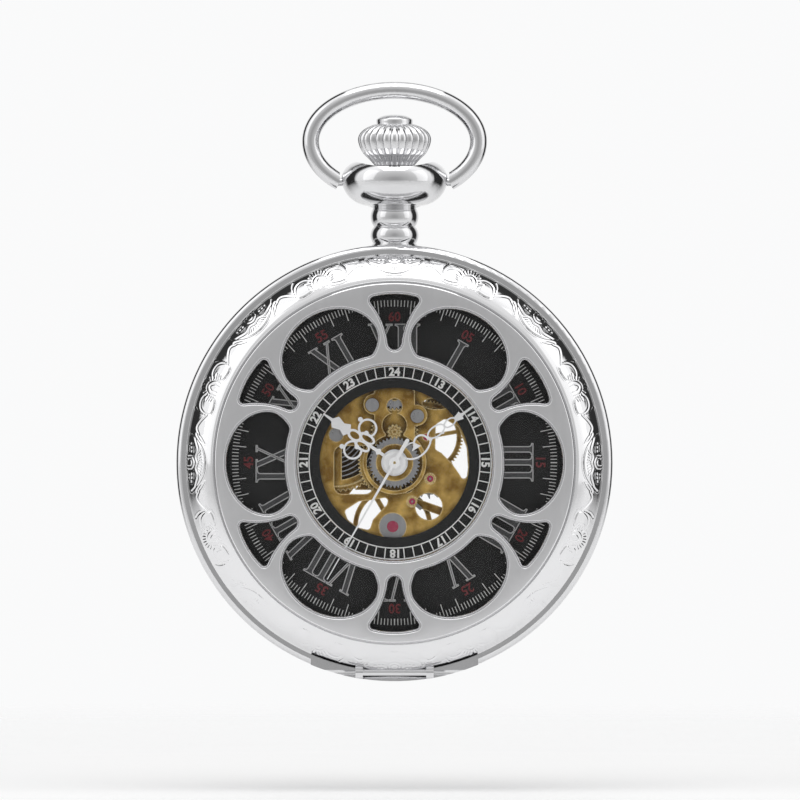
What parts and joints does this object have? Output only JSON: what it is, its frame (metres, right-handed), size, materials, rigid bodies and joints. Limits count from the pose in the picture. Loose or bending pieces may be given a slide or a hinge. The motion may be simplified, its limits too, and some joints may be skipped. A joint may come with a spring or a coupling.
{
  "type": "pocket watch",
  "caption": "Round pocket watch with a pierced hinged cover, engraved rim, black dial, skeleton hand-wound movement, fluted crown and oval bow.",
  "frame": {"origin": "middle of the flat case back, on the axis of the hands", "axes": "+Z towards the pendant and 12 o'clock, +Y out of the case back; the dial faces -Y"},
  "size_m": [0.047, 0.0139, 0.0646],
  "materials": {
    "polished_steel": "mirror polished stainless steel, satin brushed on the flat plate",
    "spring_steel": "fine ground steel",
    "mineral_glass": "clear polished mineral glass",
    "black_lacquer": "black gloss lacquer with printed scales",
    "white_hands": "silvered white stamped metal",
    "gilt_brass": "matt gilt with polished bevels",
    "ruby": "polished synthetic ruby",
    "grey_plastic": "moulded",
    "black_rubber": "moulded ring"
  },
  "bodies": {
    "case": {"back_gasket": "black_rubber", "back_glass": "mineral_glass", "back_ring": "polished_steel", "balance_cock": "gilt_brass", "barrel_bridge": "gilt_brass", "bridge_jewels": "ruby", "bridge_screws": "spring_steel", "case_middle": "polished_steel", "clamp_screws": "spring_steel", "click_spring": "spring_steel", "cover_plate_screws": "spring_steel", "crown_wheel_core": "spring_steel", "dial": "black_lacquer", "front_bezel": "polished_steel", "front_glass": "mineral_glass", "hairspring": "spring_steel", "hinge_block": "polished_steel", "hinge_pin": "spring_steel", "jewel_settings": "gilt_brass", "lift_spring": "spring_steel", "main_plate": "gilt_brass", "motion_works_plate": "gilt_brass", "movement_clamps": "spring_steel", "movement_holder": "grey_plastic", "pallet_cock": "gilt_brass", "pendant": "polished_steel", "plate_jewels": "ruby", "shock_jewel": "ruby", "shock_setting": "gilt_brass", "train_bridge": "gilt_brass"},
    "bow": {"bow": "polished_steel", "bow_pins": "spring_steel"},
    "cover": {"front_cover": "polished_steel"},
    "catch": {"cover_catch": "spring_steel"},
    "winding": {"winding_pinion": "spring_steel"},
    "crown": {"crown": "polished_steel", "winding_stem": "spring_steel"},
    "clutch": {"clutch_wheel": "spring_steel"},
    "crown_wheel": {"crown_wheel": "spring_steel"},
    "ratchet": {"ratchet_wheel": "spring_steel", "ratchet_screw": "spring_steel", "barrel_arbor": "spring_steel"},
    "click": {"click": "spring_steel"},
    "minute": {"cannon_pinion": "spring_steel", "minute_hand": "white_hands"},
    "hour": {"hour_wheel": "gilt_brass", "hour_hand": "white_hands", "dial_washer": "gilt_brass"},
    "minute_wheel": {"minute_wheel": "spring_steel"},
    "setting_wheel": {"setting_wheel": "spring_steel"},
    "seconds": {"fourth_wheel": "gilt_brass", "seconds_hand": "white_hands"},
    "third": {"third_wheel": "gilt_brass"},
    "centre": {"centre_wheel": "gilt_brass"},
    "escape": {"escape_wheel": "spring_steel"},
    "barrel": {"barrel": "gilt_brass", "barrel_cover": "gilt_brass", "mainspring": "spring_steel"},
    "pallet": {"pallet_fork": "spring_steel"},
    "balance": {"balance_wheel": "gilt_brass"}
  },
  "joints": [
    {"name": "bow_swing", "type": "hinge", "parent": "bow", "child": "case", "pos_m": [0, -0.0062, 0.0303], "axis": [1, 0, 0], "range_deg": [-100, 100]},
    {"name": "cover_swing", "type": "hinge", "parent": "case", "child": "cover", "pos_m": [0, -0.0109, -0.02255], "axis": [1, 0, 0], "range_deg": [0, 95]},
    {"name": "catch_flex", "type": "hinge", "parent": "case", "child": "catch", "pos_m": [-0.01247, -0.0044, 0.01596], "axis": [0, 1, 0], "range_deg": [0, 2.5], "stiffness_Nm_per_rad": 0.05},
    {"name": "crown_turn", "type": "hinge", "parent": "case", "child": "winding", "pos_m": [0, -0.0062, 0.012], "axis": [0, 0, 1], "continuous": true},
    {"name": "crown_slide", "type": "slide", "parent": "winding", "child": "crown", "axis": [0, 0, 1], "range_m": [-0.0004, 0.0008]},
    {"name": "clutch_slide", "type": "slide", "parent": "winding", "child": "clutch", "axis": [0, 0, 1], "range_m": [-0.00048, 0.00024]},
    {"name": "crown_wheel_turn", "type": "hinge", "parent": "case", "child": "crown_wheel", "pos_m": [-0.0015, -0.003, 0.00833], "axis": [0, 1, 0], "continuous": true},
    {"name": "ratchet_turn", "type": "hinge", "parent": "case", "child": "ratchet", "pos_m": [-0.0063, -0.003, 0.003], "axis": [0, 1, 0], "continuous": true},
    {"name": "click_pivot", "type": "hinge", "parent": "case", "child": "click", "pos_m": [-0.0092, -0.003, 0.0083], "axis": [0, 1, 0], "range_deg": [-8, 0], "stiffness_Nm_per_rad": 0.00001},
    {"name": "minute_turn", "type": "hinge", "parent": "case", "child": "minute", "pos_m": [0, -0.009, 0], "axis": [0, 1, 0], "continuous": true},
    {"name": "hour_turn", "type": "hinge", "parent": "case", "child": "hour", "pos_m": [0, -0.009, 0], "axis": [0, 1, 0], "continuous": true},
    {"name": "minute_wheel_turn", "type": "hinge", "parent": "case", "child": "minute_wheel", "pos_m": [0, -0.0086, 0.00331], "axis": [0, 1, 0], "continuous": true},
    {"name": "setting_wheel_turn", "type": "hinge", "parent": "case", "child": "setting_wheel", "pos_m": [0, -0.0082, 0.00703], "axis": [0, 1, 0], "continuous": true},
    {"name": "seconds_turn", "type": "hinge", "parent": "case", "child": "seconds", "pos_m": [0, -0.0041, 0], "axis": [0, 1, 0], "continuous": true},
    {"name": "third_turn", "type": "hinge", "parent": "case", "child": "third", "pos_m": [0.00345, -0.0045, 0.00273], "axis": [0, 1, 0], "continuous": true},
    {"name": "centre_turn", "type": "hinge", "parent": "case", "child": "centre", "pos_m": [0, -0.0069, 0], "axis": [0, 1, 0], "continuous": true},
    {"name": "escape_turn", "type": "hinge", "parent": "case", "child": "escape", "pos_m": [0.00384, -0.0054, -0.00175], "axis": [0, 1, 0], "continuous": true},
    {"name": "barrel_turn", "type": "hinge", "parent": "case", "child": "barrel", "pos_m": [-0.0063, -0.0056, 0.003], "axis": [0, 1, 0], "continuous": true},
    {"name": "pallet_rock", "type": "hinge", "parent": "case", "child": "pallet", "pos_m": [0.0019, -0.0054, -0.0042], "axis": [0, 1, 0], "range_deg": [-5, 5]},
    {"name": "balance_swing", "type": "hinge", "parent": "case", "child": "balance", "pos_m": [-0.0002, -0.0046, -0.0069], "axis": [0, 1, 0], "range_deg": [-270, 270], "stiffness_Nm_per_rad": 0.000001}
  ],
  "couplings": [
    {"joint": "clutch_slide", "follows": "crown_slide", "ratio": -0.6},
    {"joint": "crown_wheel_turn", "follows": "crown_turn", "ratio": 0.41176},
    {"joint": "ratchet_turn", "follows": "crown_turn", "ratio": -0.29167},
    {"joint": "hour_turn", "follows": "minute_turn", "ratio": 0.083333},
    {"joint": "minute_wheel_turn", "follows": "minute_turn", "ratio": -0.33333},
    {"joint": "setting_wheel_turn", "follows": "minute_turn", "ratio": 0.66667},
    {"joint": "third_turn", "follows": "seconds_turn", "ratio": -0.125},
    {"joint": "centre_turn", "follows": "seconds_turn", "ratio": 0.016667},
    {"joint": "escape_turn", "follows": "seconds_turn", "ratio": -10},
    {"joint": "barrel_turn", "follows": "seconds_turn", "ratio": -0.0023148}
  ]
}
